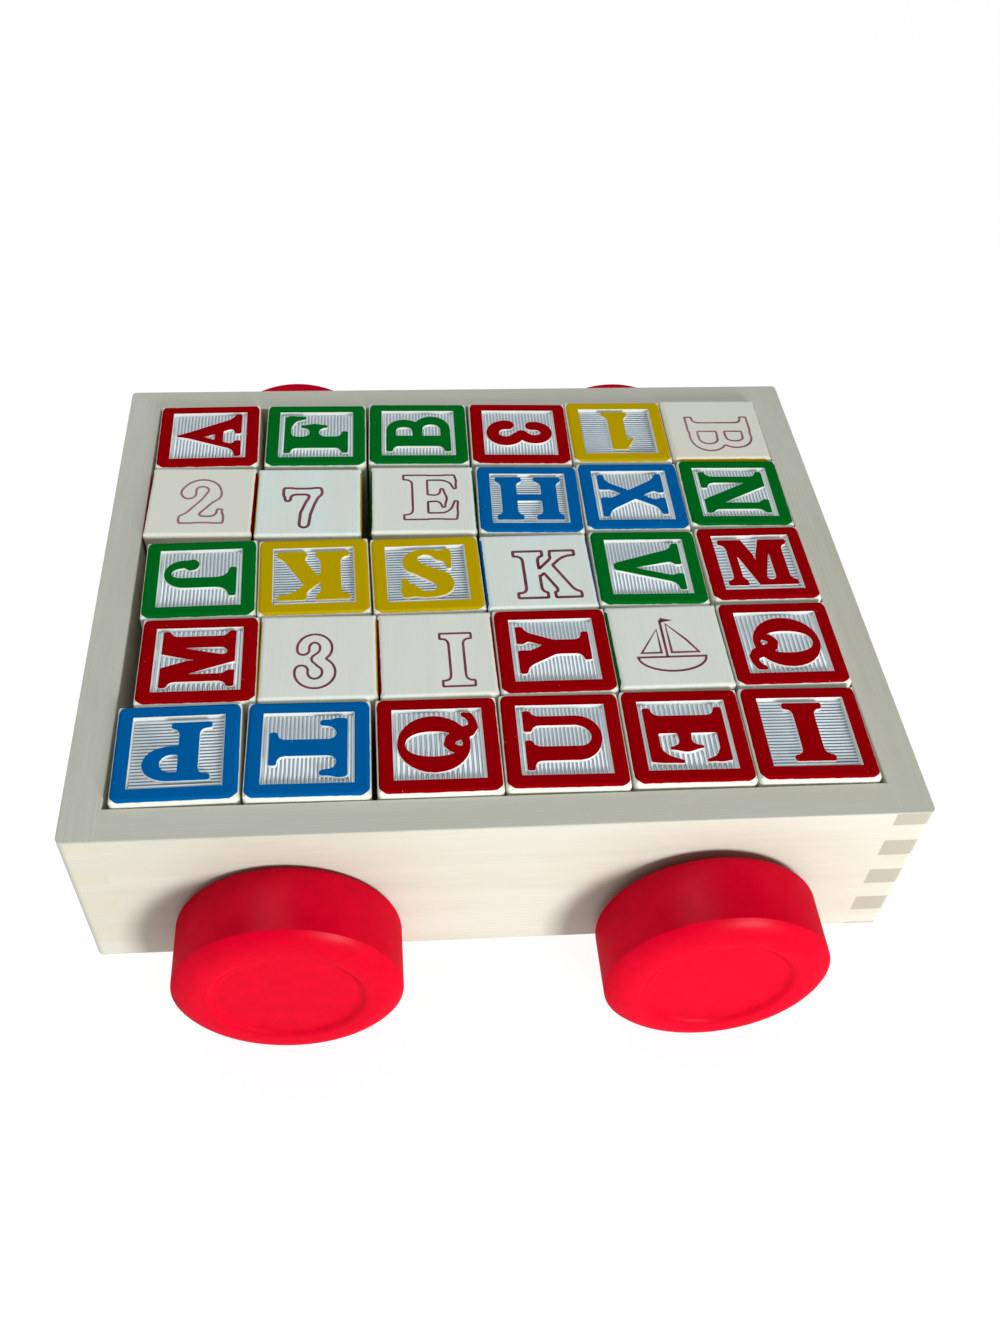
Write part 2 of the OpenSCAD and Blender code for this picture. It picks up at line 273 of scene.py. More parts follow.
def basswood(node, lie, sunk_axis, paint):
    """Matt pale wood with little grain, and flat opaque paint on the borders of the two sunk faces."""
    material, tree, shader, place = new_material(f"{paint}_roller_paint_on_basswood_{node}")
    quarter = {0: Euler((0, math.pi / 2, 0)), 1: Euler((math.pi / 2, 0, 0)), 2: Euler()}[sunk_axis]
    turned = lie.to_3x3() @ quarter.to_matrix()
    own = add_node(tree, "ShaderNodeMapping", {"Vector": place, "Location": lie.translation,
                                               "Rotation": turned.to_euler()}, vector_type="TEXTURE")
    along = int(sunk_axis == 0)
    further = PLANK_STEP * lie.translation
    plank = add_node(tree, "ShaderNodeVectorMath", {0: own, 1: further}, operation="ADD")
    pale = TINTS.get(node, BASSWOOD_PALE)
    colour, streaks = wood_grain(tree, plank, along, pale, BASSWOOD_DARK, BASSWOOD_END, turned.col[along])
    apart = add_node(tree, "ShaderNodeVectorMath", {0: own}, operation="ABSOLUTE")
    split = add_node(tree, "ShaderNodeSeparateXYZ", {0: apart}).outputs
    aside = add_node(tree, "ShaderNodeMath", {0: split[0], 1: split[1]}, operation="MAXIMUM")
    border = add_node(tree, "ShaderNodeMath", {0: aside, 1: BLOCK / 2 - BORDER}, operation="GREATER_THAN")
    # The walls and floor of each sunk square are painted that greyer tone as shade in the recess
    sunk = add_node(tree, "ShaderNodeMath", {0: split[2], 1: BLOCK / 2 - 2 * SUNK_DEPTH},
                    operation="GREATER_THAN")
    sunk = add_node(tree, "ShaderNodeMath", {0: sunk, 1: border}, operation="SUBTRACT", use_clamp=True)
    colour = add_node(tree, "ShaderNodeMix", {0: sunk, 6: colour, 7: linear(SUNK_SHADE_TONE)},
                      data_type="RGBA").outputs[2]
    wobble = add_node(tree, "ShaderNodeTexNoise", {"Vector": place, "Scale": 1 / WOBBLE_LENGTH, "Detail": 3})
    edge = edge_distance(tree, own, BLOCK / 2 - PAINT_MARGIN, PAINT_CORNER)
    edge = add_node(tree, "ShaderNodeMath", {0: wobble, 1: PAINT_WOBBLE, 2: edge}, operation="MULTIPLY_ADD")
    within = add_node(tree, "ShaderNodeMath", {0: edge, 1: PAINT_WOBBLE / 2}, operation="LESS_THAN")
    raised = add_node(tree, "ShaderNodeMath", {0: split[2], 1: BLOCK / 2 - PAINT_REACH},
                      operation="GREATER_THAN")
    painted = add_node(tree, "ShaderNodeMath", {0: border, 1: raised}, operation="MULTIPLY")
    painted = add_node(tree, "ShaderNodeMath", {0: within, 1: painted}, operation="MULTIPLY")
    missed = missed_pores(tree, place)
    painted = add_node(tree, "ShaderNodeMath", {0: painted, 1: missed}, operation="SUBTRACT", use_clamp=True)
    colour = add_node(tree, "ShaderNodeMix", {0: painted, 6: colour, 7: linear(PAINTS[paint])},
                      data_type="RGBA").outputs[2]
    bump = add_node(tree, "ShaderNodeBump", {"Height": streaks, "Strength": 0.3, "Distance": 0.06 * MM})
    tree.links.new(colour, shader.inputs["Base Color"])
    tree.links.new(bump.outputs[0], shader.inputs["Normal"])
    shader.inputs["Roughness"].default_value = 0.5
    shader.inputs["Specular IOR Level"].default_value = 0
    return material


# The blocks that lie with a print up show their paint only at the sides
SIDE_PAINTS = ("yellow", "red", "green", "blue", "red", "yellow", "green", "yellow")
lies, paints = {}, {}
bare = [node for node in blocks if slots[node] == "printed_block"]
for node in blocks:
    lies[node] = lie_of(node)
    paints[node] = SIDE_PAINTS[bare.index(node)] if node in bare else slots[node].split("_")[0]
    finish_node(node, basswood(node, *lies[node], paints[node]))

# Letter forms
# Fat slab letters and digits with bracketed feet, as old wood type has them, in a unit square.
# Each is made of straight bars and of bows whose width swells from thin to stem, melted into one shape.

# The thickness of a foot or head, and the heights of their middles
SLAB = 0.105
LOW, TOP = SLAB / 2, 1 - SLAB / 2
# How far two strokes melt together where they meet, and how round the corners of a bar are
BRACKET, WIDE_BRACKET, CRISP, SOFT = 0.12, 0.2, 0.02, 0.035
# Points along a bow, a distance beyond any letter, and what keeps a sharp corner's mitre short
BOW_STEPS, FAR, MITRE_LIMIT = 32, 9.0, 0.3


def bar(x0, y0, x1, y1, width):
    """A straight stroke with square ends."""
    return "bar", [(x0, y0, width), (x1, y1, width)], BRACKET


def slab(x0, x1, y):
    """A level foot or head."""
    return bar(x0, y, x1, y, SLAB)


def run(*points):
    """A stroke with round ends through several points, each with a width of its own."""
    return "bow", points, BRACKET


def crisp(part):
    """The same stroke, joined to the others without a bracket."""
    return (*part[:2], CRISP)


def bow(cx, cy, rx, ry, start, end, thick, thin, last=None):
    """Part of an oval ring, thin above and below, whose sides change from thick to last along it."""
    points = []
    for step in range(BOW_STEPS + 1):
        share = step / BOW_STEPS
        a = math.radians(start + (end - start) * share)
        side = thick + ((last or thick) - thick) * share
        width = thin + (side - thin) * math.cos(a) ** 2
        points.append((cx + rx * math.cos(a), cy + ry * math.sin(a), width))
    return run(*points)


GLYPHS = {
    "A": [crisp(run((0.148, 0, 0.11), (0.397, 0.584, 0.11), (0.475, 0.8, 0.085), (0.503, 0.97, 0.035))),
          crisp(run((0.867, 0, 0.223), (0.5785, 0.584, 0.223), (0.53, 0.8, 0.12), (0.497, 0.97, 0.04))),
          crisp(bar(0.27, 0.345, 0.75, 0.345, 0.13)), slab(-0.033, 0.358, LOW), slab(0.537, 1.033, LOW)],
    "B": [crisp(bar(0.302, 0, 0.302, 1, 0.258)), slab(0.04, 0.3, LOW), slab(0.04, 0.3, TOP),
          crisp(bar(0.3, 0.078, 0.6, 0.078, 0.15)), crisp(bar(0.3, 0.922, 0.6, 0.922, 0.15)),
          crisp(bar(0.3, 0.513, 0.62, 0.513, 0.15)),
          crisp(bow(0.57, 0.718, 0.18, 0.204, -90, 90, 0.19, 0.15)),
          crisp(bow(0.59, 0.296, 0.235, 0.218, -90, 90, 0.2, 0.15))],
    "E": [crisp(bar(0.325, 0, 0.325, 1, 0.286)), slab(0.055, 0.3, LOW), slab(0.055, 0.3, TOP),
          crisp(bar(0.4, 0.938, 0.905, 0.938, 0.124)), crisp(bar(0.4, 0.075, 0.91, 0.075, 0.15)),
          crisp(run((0.42, 0.47, 0.19), (0.66, 0.47, 0.13))),
          run((0.705, 0.29, 0.05), (0.70, 0.47, 0.10), (0.69, 0.66, 0.05)),
          run((0.83, 0.91, 0.10), (0.88, 0.83, 0.09), (0.905, 0.71, 0.05)),
          run((0.82, 0.10, 0.12), (0.88, 0.22, 0.11), (0.915, 0.38, 0.06))],
    "F": [bar(0.301, 0, 0.301, 1, 0.288), slab(0.03, 0.58, LOW), slab(0.03, 0.95, TOP),
          run((0.42, 0.53, 0.17), (0.68, 0.53, 0.12)),
          run((0.71, 0.36, 0.07), (0.70, 0.53, 0.11), (0.71, 0.71, 0.07)),
          run((0.80, 0.95, 0.10), (0.91, 0.86, 0.14), (0.935, 0.70, 0.08))],
    "H": [bar(0.2, 0, 0.2, 1, 0.236), bar(0.81, 0, 0.81, 1, 0.24), crisp(bar(0.2, 0.514, 0.8, 0.514, 0.147)),
          slab(0, 0.40, LOW), slab(0.59, 1, LOW), slab(0, 0.40, TOP), slab(0.59, 1, TOP)],
    "I": [bar(0.5, 0, 0.5, 1, 0.284), slab(0.23, 0.77, LOW), slab(0.23, 0.77, TOP)],
    "J": [crisp(run((0.593, 1.1, 0.2), *bow(0.4015, 0.29, 0.1915, 0.24, 0, -180, 0.2, 0.1, 0.155)[1],
                    (0.228, 0.365, 0.23))), (*slab(0.297, 0.875, TOP)[:2], WIDE_BRACKET)],
    "K": [bar(0.26, 0, 0.26, 1, 0.286), crisp(bar(0.36, 0.50, 0.84, 0.99, 0.13)),
          crisp(bar(0.515, 0.65, 0.87, 0, 0.255)), slab(-0.01, 0.47, LOW), slab(-0.01, 0.47, TOP),
          slab(0.60, 1.01, LOW), slab(0.61, 1.01, TOP)],
    "M": [crisp(bar(0.153, 0, 0.153, 1, 0.136)), crisp(bar(0.83, 0, 0.83, 1, 0.215)),
          crisp(run((0.207, 1.03, 0.238), (0.357, 0.623, 0.238), (0.493, 0.01, 0.09))),
          crisp(run((0.717, 1.03, 0.187), (0.596, 0.623, 0.187), (0.493, 0.01, 0.09))),
          slab(-0.02, 0.278, LOW), slab(0.589, 1.034, LOW), slab(-0.02, 0.2, TOP), slab(0.8, 1.034, TOP)],
    "N": [crisp(bar(0.169, 0, 0.169, 1, 0.149)), crisp(bar(0.797, 0, 0.797, 1, 0.146)),
          crisp(bar(0.19, 1.02, 0.775, -0.01, 0.215)),
          slab(0.01, 0.31, LOW), slab(0.01, 0.22, TOP), slab(0.6, 0.985, TOP), slab(0.72, 0.985, LOW)],
    "P": [crisp(bar(0.35, 0, 0.35, 1, 0.268)), slab(0.055, 0.595, LOW), slab(0.055, 0.35, TOP),
          crisp(bar(0.35, 0.925, 0.56, 0.925, 0.15)), crisp(bar(0.35, 0.48, 0.56, 0.48, 0.15)),
          crisp(bow(0.56, 0.7025, 0.2715, 0.2225, -90, 90, 0.227, 0.15))],
    "Q": [crisp(bow(0.5, 0.555, 0.32, 0.395, 0, 360, 0.246, 0.095)),
          crisp(run((0.40, 0.25, 0.12), (0.43, 0.335, 0.12), (0.495, 0.375, 0.13), (0.58, 0.34, 0.15),
                    (0.64, 0.25, 0.18), (0.69, 0.13, 0.18), (0.75, 0.07, 0.13), (0.85, 0.07, 0.10),
                    (0.93, 0.11, 0.11), (0.955, 0.17, 0.075)))],
    "S": [bow(0.5, 0.755, 0.235, 0.19, 30, 215, 0.2, 0.11),
          bow(0.5, 0.265, 0.26, 0.205, -150, 45, 0.23, 0.12),
          run((0.33, 0.64, 0.21), (0.5, 0.515, 0.25), (0.68, 0.39, 0.24)),
          run((0.81, 0.94, 0.12), (0.825, 0.62, 0.07)), run((0.19, 0.06, 0.11), (0.175, 0.36, 0.09))],
    "T": [bar(0.498, 0, 0.498, 1, 0.273), slab(0.235, 0.785, LOW), bar(0.035, 0.928, 0.965, 0.928, 0.145),
          run((0.10, 0.9, 0.13), (0.085, 0.69, 0.10)), run((0.90, 0.9, 0.13), (0.915, 0.69, 0.10))],
    "U": [crisp(run((0.27, 1.1, 0.234), *bow(0.543, 0.33, 0.273, 0.261, -180, 0, 0.234, 0.138, 0.157)[1],
                    (0.816, 1.1, 0.157))), slab(0, 0.489, TOP), slab(0.635, 0.985, TOP)],
    "V": [crisp(run((0.235, 0.96, 0.265), (0.485, 0.08, 0.17))),
          crisp(run((0.80, 0.96, 0.13), (0.51, 0.06, 0.12))), slab(0.01, 0.457, TOP),
          slab(0.658, 0.99, TOP)],
    "X": [crisp(bar(0.2, 1, 0.84, 0, 0.22)), crisp(bar(0.82, 1, 0.21, 0, 0.13)), slab(0, 0.445, TOP),
          slab(0.644, 0.995, TOP), slab(0.05, 0.43, LOW), slab(0.56, 1, LOW)],
    "Y": [bar(0.55, 0, 0.55, 0.55, 0.264), crisp(bar(0.26, 1, 0.56, 0.46, 0.235)),
          crisp(bar(0.82, 1, 0.59, 0.46, 0.15)), slab(0.064, 0.486, TOP), slab(0.62, 0.94, TOP),
          slab(0.296, 0.827, LOW)],
    "1": [bar(0.5, 0, 0.5, 0.975, 0.26), slab(0.31, 0.72, LOW),
          crisp(run((0.46, 0.91, 0.12), (0.39, 0.82, 0.13), (0.29, 0.71, 0.05)))],
    "2": [bow(0.476, 0.71, 0.206, 0.2, -25, 185, 0.2, 0.18), run((0.27, 0.69, 0.19), (0.285, 0.645, 0.18)),
          run((0.66, 0.62, 0.2), (0.46, 0.34, 0.2), (0.28, 0.10, 0.17)), bar(0.19, 0.08, 0.82, 0.08, 0.16),
          bar(0.78, 0.03, 0.78, 0.31, 0.08)],
    "3": [crisp(run(*bow(0.495, 0.73, 0.168, 0.18, 190, -58, 0.2, 0.175)[1], (0.53, 0.53, 0.17))),
          crisp(run((0.53, 0.53, 0.17), *bow(0.503, 0.29, 0.2, 0.198, 62, -190, 0.215, 0.19)[1]))],
    "7": [bar(0.17, 0.91, 0.82, 0.91, 0.17), run((0.22, 0.93, 0.11), (0.225, 0.72, 0.10)),
          run((0.76, 0.89, 0.15), (0.64, 0.62, 0.19), (0.56, 0.36, 0.21), (0.54, 0.11, 0.2))],
}


def bar_distance(x, y, points, soft):
    """Signed distance from a straight bar with square ends and slightly soft corners."""
    (x0, y0, width), (x1, y1, _) = points
    soft = min(soft, width / 3)
    length = math.hypot(x1 - x0, y1 - y0)
    c, s = (x1 - x0) / length, (y1 - y0) / length
    along = np.abs((x - (x0 + x1) / 2) * c + (y - (y0 + y1) / 2) * s) - length / 2 + soft
    across = np.abs((y - (y0 + y1) / 2) * c - (x - (x0 + x1) / 2) * s) - width / 2 + soft
    outside = np.hypot(np.maximum(along, 0), np.maximum(across, 0))
    return outside + np.minimum(np.maximum(along, across), 0) - soft


def bow_distance(x, y, points):
    """Signed distance from a line of changing width."""
    best = np.full(x.shape, FAR)
    for (x0, y0, w0), (x1, y1, w1) in zip(points, points[1:]):
        t = ((x - x0) * (x1 - x0) + (y - y0) * (y1 - y0)) / ((x1 - x0) ** 2 + (y1 - y0) ** 2)
        t = np.clip(t, 0, 1)
        apart = np.hypot(x - x0 - t * (x1 - x0), y - y0 - t * (y1 - y0))
        best = np.minimum(best, apart - (w0 + (w1 - w0) * t) / 2)
    return best


def letter_shape(name, x, y, slim, ease):
    """Signed distance from a letter, with thick strokes slimmed, corners eased and all melted together."""
    shape = np.full(x.shape, FAR)
    for kind, points, melt in GLYPHS[name]:
        points = [(px, py, width * slim if width > SLAB else width) for px, py, width in points]
        part = bar_distance(x, y, points, SOFT * ease) if kind == "bar" else bow_distance(x, y, points)
        near = np.maximum(melt - np.abs(shape - part), 0)
        shape = np.minimum(shape, part) - near**2 / (4 * melt)
    return np.maximum(shape, np.abs(y - 0.5) - 0.5)


def thinned(points, slack):
    """The points of an open line that keep it within slack of where it was."""
    line = np.array(points)
    ahead = line[-1] - line[0]
    length = np.hypot(*ahead)
    if length < 1e-9:
        off = np.hypot(*(line - line[0]).T)
    else:
        off = np.abs((line[:, 0] - line[0, 0]) * ahead[1] - (line[:, 1] - line[0, 1]) * ahead[0]) / length
    far = int(off.argmax())
    if off[far] <= slack:
        return [points[0], points[-1]]
    return thinned(points[:far + 1], slack)[:-1] + thinned(points[far:], slack)


def outlines(name, slim=1, ease=1, cells=110, margin=0.06, slack=0.0012):
    """Closed outlines of a letter, each with the letter on its left, walked cell by cell on a grid."""
    ticks = np.linspace(-margin, 1 + margin, cells + 1)
    height = letter_shape(name, *np.meshgrid(ticks, ticks, indexing="ij"), slim, ease)
    inside = height < 0
    corners = inside[:-1, :-1].astype(int) + inside[1:, :-1] + inside[1:, 1:] + inside[:-1, 1:]
    after, spots = {}, {}
    for i, j in np.argwhere((corners > 0) & (corners < 4)):
        ring = [(i, j), (i + 1, j), (i + 1, j + 1), (i, j + 1)]
        hits = []
        for a, b in zip(ring, ring[1:] + ring[:1]):
            if inside[a] != inside[b]:
                key = (min(a, b), max(a, b))
                t = height[a] / (height[a] - height[b])
                spots[key] = tuple(ticks[a[k]] + t * (ticks[b[k]] - ticks[a[k]]) for k in (0, 1))
                hits.append((inside[a], key))
        for k, (leaving, key) in enumerate(hits):
            if leaving:
                after[key] = hits[(k + 1) % len(hits)][1]
    loops = []
    while after:
        key, loop = next(iter(after)), []
        while key in after:
            loop.append(spots[key])
            key = after.pop(key)
        half = len(loop) // 2
        loops.append(thinned(loop[:half + 1], slack)[:-1] + thinned(loop[half:] + loop[:1], slack)[:-1])
    return loops


def moved_out(loop, distance, closed=True):
    """A line moved sideways to its right, mitred at its corners."""
    moved = []
    for k, (x, y) in enumerate(loop):
        before = loop[k - 1] if closed or k else None
        behind = loop[(k + 1) % len(loop)] if closed or k + 1 < len(loop) else None
        sides = []
        pairs = (before, (x, y)), ((x, y), behind)
        for (x0, y0), (x1, y1) in [pair for pair in pairs if None not in pair]:
            length = math.hypot(x1 - x0, y1 - y0)
            sides.append(((y1 - y0) / length, (x0 - x1) / length))
        nx, ny = sum(s[0] for s in sides) / len(sides), sum(s[1] for s in sides) / len(sides)
        stretch = distance / max(nx * nx + ny * ny, MITRE_LIMIT)
        moved.append((x + nx * stretch, y + ny * stretch))
    return moved


def stitched(rings, closed=True, first=0):
    """Quads between each ring of points and the next, all rings alike in length."""
    count, faces = len(rings[0]), []
    for r in range(len(rings) - 1):
        for k in range(count if closed else count - 1):
            a, b = first + r * count + k, first + r * count + (k + 1) % count
            faces.append((a, b, b + count, a + count))
    return faces


# Raised letters
# The letter in a sunk square stands up from its floor to the level of the border, its sides drawn in
# a little by the press. The roller paints its top with the border and leaves its sides bare.
LETTER_HEIGHT = 24.2 * MM
LETTER_SIZES = {"P": 0.945, "E": 1.047, "M": 0.972, "Q": 1.05, "J": 1.01, "I": 0.985, "T": 0.985, "3": 1.05,
                "B": 1.02}
# It spreads a little at the foot, is rooted in the floor, and is eased in by a shoulder at the top
LETTER_SPREAD, LETTER_SHOULDER, LETTER_EASE = 0.25 * MM, 0.25 * MM, 0.15 * MM
LETTER_SINK = 0.1 * MM
PRESSED_PALE, PRESSED_DARK, MOTTLE_SIZE = "ECEDE8", "DDDED8", 2 * MM


def raised_letter(name):
    """Points, faces and each face's finish, 0 bare or 1 painted, of a letter about a face's centre."""
    points, faces, finishes = [], [], []
    top, base = [], []
    # How far the outline is moved out, and at what height, from the foot up
    steps = ((LETTER_SPREAD, -SUNK_DEPTH - LETTER_SINK), (LETTER_SPREAD, -SUNK_DEPTH), (0, -LETTER_SHOULDER),
             (-LETTER_EASE, 0))
    height = LETTER_HEIGHT * LETTER_SIZES.get(name, 1)
    for loop in outlines(name):
        loop = [((x - 0.5) * height, (y - 0.5) * height) for x, y in loop]
        rings = [[(*p, z) for p in moved_out(loop, spread)] for spread, z in steps]
        sides = stitched(rings, first=len(points))
        faces += sides
        finishes += [0] * (2 * len(loop)) + [1] * (len(sides) - 2 * len(loop))
        base.append(range(len(points), len(points) + len(loop)))
        top.append(range(len(points) + 3 * len(loop), len(points) + 4 * len(loop)))
        points += [p for ring in rings for p in ring]
    for cap, up in ((base, -1), (top, 1)):
        order = [k for ring in cap for k in ring]
        for corners in geometry.tessellate_polygon([[Vector(points[k]) for k in ring] for ring in cap]):
            a, b, c = (order[k] for k in corners)
            (ax, ay, _), (bx, by, _), (cx, cy, _) = points[a], points[b], points[c]
            turn = (bx - ax) * (cy - ay) - (by - ay) * (cx - ax)
            faces.append((a, b, c) if turn * up > 0 else (a, c, b))
            finishes.append((up + 1) // 2)
    return points, faces, finishes


def roller_paint(name, colour):
    """The borders' flat opaque paint on the tops of the letters, with the same bare flecks."""
    material, tree, shader, place = new_material(name)
    missed = missed_pores(tree, place)
    tone = add_node(tree, "ShaderNodeMix", {0: missed, 6: linear(colour), 7: linear(BASSWOOD_DARK)},
                    data_type="RGBA").outputs[2]
    tree.links.new(tone, shader.inputs["Base Color"])
    shader.inputs["Roughness"].default_value = 0.5
    shader.inputs["Specular IOR Level"].default_value = 0
    return material


def pressed_wood(name, pale, dark):
    """Wood pressed smooth by a hot die, which leaves a faint mottle and a slight sheen in place of grain."""
    material, tree, shader, place = new_material(name)
    mottle = add_node(tree, "ShaderNodeTexNoise", {"Vector": place, "Scale": 1 / MOTTLE_SIZE, "Detail": 3})
    tone = add_node(tree, "ShaderNodeMix", {0: mottle, 6: linear(pale), 7: linear(dark)}, data_type="RGBA")
    tree.links.new(tone.outputs[2], shader.inputs["Base Color"])
    shader.inputs["Roughness"].default_value = 0.45
    return material


def face_place(way, turn):
    """From a face's own X, Y and outward Z to the block's, with the face turned in its own plane."""
    tip = {"top": (0, 0), "bottom": (180, 0), "front": (90, 0), "right": (90, 90), "back": (90, 180),
           "left": (90, -90)}[way]
    return (Matrix.Rotation(math.radians(tip[1]), 4, "Z") @ Matrix.Rotation(math.radians(tip[0]), 4, "X")
            @ Matrix.Translation((0, 0, BLOCK / 2)) @ Matrix.Rotation(math.radians(turn), 4, "Z"))


def joined(name, parts, materials, smooth):
    """One mesh object of several parts, each with its place, points, faces and finishes."""
    points, faces, finishes = [], [], []
    for place, (part_points, part_faces, part_finishes) in parts:
        faces += [tuple(k + len(points) for k in face) for face in part_faces]
        finishes += part_finishes
        points += [place @ Vector(p) for p in part_points]
    mesh = bpy.data.meshes.new(name)
    mesh.from_pydata(points, [], faces)
    mesh.polygons.foreach_set("material_index", finishes)
    mesh.polygons.foreach_set("use_smooth", [smooth and len(face) == 4 for face in faces])
    for material in materials:
        mesh.materials.append(material)
    mesh.update()
    piece = bpy.data.objects.new(name, mesh)
    bpy.context.scene.collection.objects.link(piece)
    return piece


# What each block shows on top, from left to right, and how far it is turned
TOPS = {
    "front_row": (("P", 180), ("T", -90), ("Q", 90), ("U", 90), ("E", -90), ("I", 0)),
    "second_row": (("M", 90), ("3", 0), ("I", 0), ("Y", 90), ("boat", 0), ("Q", -90)),
    "middle_row": (("J", -90), ("K", 180), ("S", 0), ("K", 0), ("V", -90), ("M", 0)),
    "fourth_row": (("2", 0), ("7", 0), ("E", 0), ("H", 0), ("X", 90), ("N", 90)),
    "back_row": (("A", 90), ("F", 90), ("B", 90), ("3", -90), ("1", 180), ("B", -90)),
}
tops = {f"{row}_block_{number}": top for row, row_tops in TOPS.items()
        for number, top in enumerate(row_tops, 1)}
# The two faces of a block on each of its axes
FACE_PAIRS = (("left", "right"), ("front", "back"), ("bottom", "top"))
letters = {name: raised_letter(name) for name in GLYPHS}
# Faces that aren't on top take the letters in turn
spare = list(GLYPHS)
SUNK_START, SUNK_STEP = 3, 5
top_paints = {name: roller_paint(f"{name}_roller_paint_on_letter_tops", colour)
              for name, colour in PAINTS.items()}
pressed = pressed_wood("pressed_basswood_sides", PRESSED_PALE, PRESSED_DARK)
for number, node in enumerate(blocks):
    lie, sunk = lies[node]
    parts = []
    for way in FACE_PAIRS[sunk]:
        name, turn = tops[node]
        if way != "top":
            name = spare[(SUNK_STEP * number + SUNK_START) % len(spare)]
        parts.append((lie @ face_place(way, turn), letters[name]))
    piece = joined(f"{node}_letters", parts, [pressed, top_paints[paints[node]]], smooth=True)
    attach(piece, node)

# Ribbed floors
# The press leaves fine ribs across the floor of each sunk square, along the foot of its letter.
# They are bare wood washed with a thin bluish white, and their flanks are painted a darker bluish grey as
# shade between the ribs.
RIB_LENGTH, RIB_STAND, RIB_SIDES = 26.9 * MM, 0.45 * MM, 10
FINE_PITCH, WIDE_PITCH, RIB_PLUMP = 1.25 * MM, 1.55 * MM, 0.42
# Letters whose die has the wide ribs
WIDE_RIBBED = ("Q", "E", "M")
# A rib's sides belong to its crest where they look up by at least this much
RIB_CREST = 0.65
# Colours of the wash on the crests, and of the painted shade on the flanks
CREST_PALE, CREST_DARK, FLANK_SHADE_PALE, FLANK_SHADE_DARK = "F6FDFF", "E8F3F8", "A6B6BF", "8E9FA8"


def ribbed_floor_tree():
    """Nodes that lay a row of round ribs, side by side, across the floor of a sunk square."""
    tree = bpy.data.node_groups.new("ribbed_floor", "GeometryNodeTree")
    tree.interface.new_socket("Geometry", in_out="OUTPUT", socket_type="NodeSocketGeometry")
    for name, kind in (("Ribs", "Int"), ("Pitch", "Float"), ("Length", "Float"), ("Radius", "Float"),
                       ("Stand", "Float"), ("Wood", "Material")):
        tree.interface.new_socket(name, in_out="INPUT", socket_type=f"NodeSocket{kind}")
    given = add_node(tree, "NodeGroupInput")
    take = given.outputs
    step = add_node(tree, "ShaderNodeCombineXYZ", {1: take["Pitch"]})
    gaps = add_node(tree, "ShaderNodeMath", {0: take["Ribs"], 1: -0.5, 2: 0.5}, operation="MULTIPLY_ADD")
    first = add_node(tree, "ShaderNodeMath", {0: gaps, 1: take["Pitch"]}, operation="MULTIPLY")
    below = add_node(tree, "ShaderNodeMath", {0: take["Stand"], 1: take["Radius"]}, operation="SUBTRACT")
    start = add_node(tree, "ShaderNodeCombineXYZ", {1: first, 2: below})
    row = add_node(tree, "GeometryNodeMeshLine",
                   {"Count": take["Ribs"], "Start Location": start, "Offset": step})
    rib = add_node(tree, "GeometryNodeMeshCylinder",
                   {"Vertices": RIB_SIDES, "Radius": take["Radius"], "Depth": take["Length"]},
                   fill_type="NGON")
    lying = add_node(tree, "GeometryNodeTransform", {"Geometry": rib, "Rotation": (0, math.pi / 2, 0)})
    ribs = add_node(tree, "GeometryNodeInstanceOnPoints", {"Points": row, "Instance": lying})
    real = add_node(tree, "GeometryNodeRealizeInstances", {0: ribs})
    soft = add_node(tree, "GeometryNodeSetShadeSmooth", {0: real})
    done = add_node(tree, "GeometryNodeSetMaterial", {"Geometry": soft, "Material": take["Wood"]})
    add_node(tree, "NodeGroupOutput", {0: done})
    return tree


def grown(name, tree, **inputs):
    """Points, faces and finishes of the mesh that a node tree makes with these inputs."""
    host = bpy.data.objects.new(name, bpy.data.meshes.new(name))
    bpy.context.scene.collection.objects.link(host)
    nodes = host.modifiers.new(name, "NODES")
    nodes.node_group = tree
    for item in tree.interface.items_tree:
        if item.in_out == "INPUT":
            nodes[item.identifier] = inputs[item.name]
    bpy.context.view_layer.update()
    made = bpy.data.meshes.new_from_object(host.evaluated_get(bpy.context.evaluated_depsgraph_get()))
    bpy.data.objects.remove(host)
    points = [tuple(v.co) for v in made.vertices]
    # Faces that look up less than RIB_CREST take the second material, the flanks' painted shade
    finishes = [int(p.normal.z < RIB_CREST) for p in made.polygons]
    return points, [tuple(p.vertices) for p in made.polygons], finishes


crests = pressed_wood("white_washed_basswood", CREST_PALE, CREST_DARK)
flanks = pressed_wood("painted_shade_between_ribs", FLANK_SHADE_PALE, FLANK_SHADE_DARK)
floor_tree = ribbed_floor_tree()
fine_ribs, wide_ribs = (
    grown("ribbed_floor", floor_tree, Ribs=int(RIB_LENGTH / pitch), Pitch=pitch, Length=RIB_LENGTH,
          Radius=RIB_PLUMP * pitch, Stand=RIB_STAND, Wood=crests) for pitch in (FINE_PITCH, WIDE_PITCH))
sunk_floor = Matrix.Translation((0, 0, -SUNK_DEPTH))
for node in blocks:
    lie, sunk = lies[node]
    name, turn = tops[node]
    ribs = wide_ribs if name in WIDE_RIBBED else fine_ribs
    parts = [(lie @ face_place(way, turn) @ sunk_floor, ribs) for way in FACE_PAIRS[sunk]]
    piece = joined(f"{node}_ribs", parts, [crests, flanks], smooth=True)
    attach(piece, node)

# Printed faces
# The four other faces of a block carry a letter or a simple picture, stamped in thin maroon lines
# on the bare wood. The ink is matt, stands a hair above the surface, and is thinner in patches.
INK_WIDTH, BOLD_INK, INK_RISE, INK_SINK = 0.85 * MM, 1.1 * MM, 0.04 * MM, 0.03 * MM
INK_DARK, INK_THIN, WORN_DARK, WORN_THIN = "5E1228", "8A3E50", "854A50", "AC807E"
INK_PATCH, PATCH_SPAN = 12 * MM, {"From Min": 0.35, "From Max": 0.65}
# Blocks whose print on top took more ink than the others, or is worn
BOLD_PRINTS = ("middle_row_block_4", "fourth_row_block_2")
FAINT_PRINTS = ("fourth_row_block_1", "back_row_block_6")
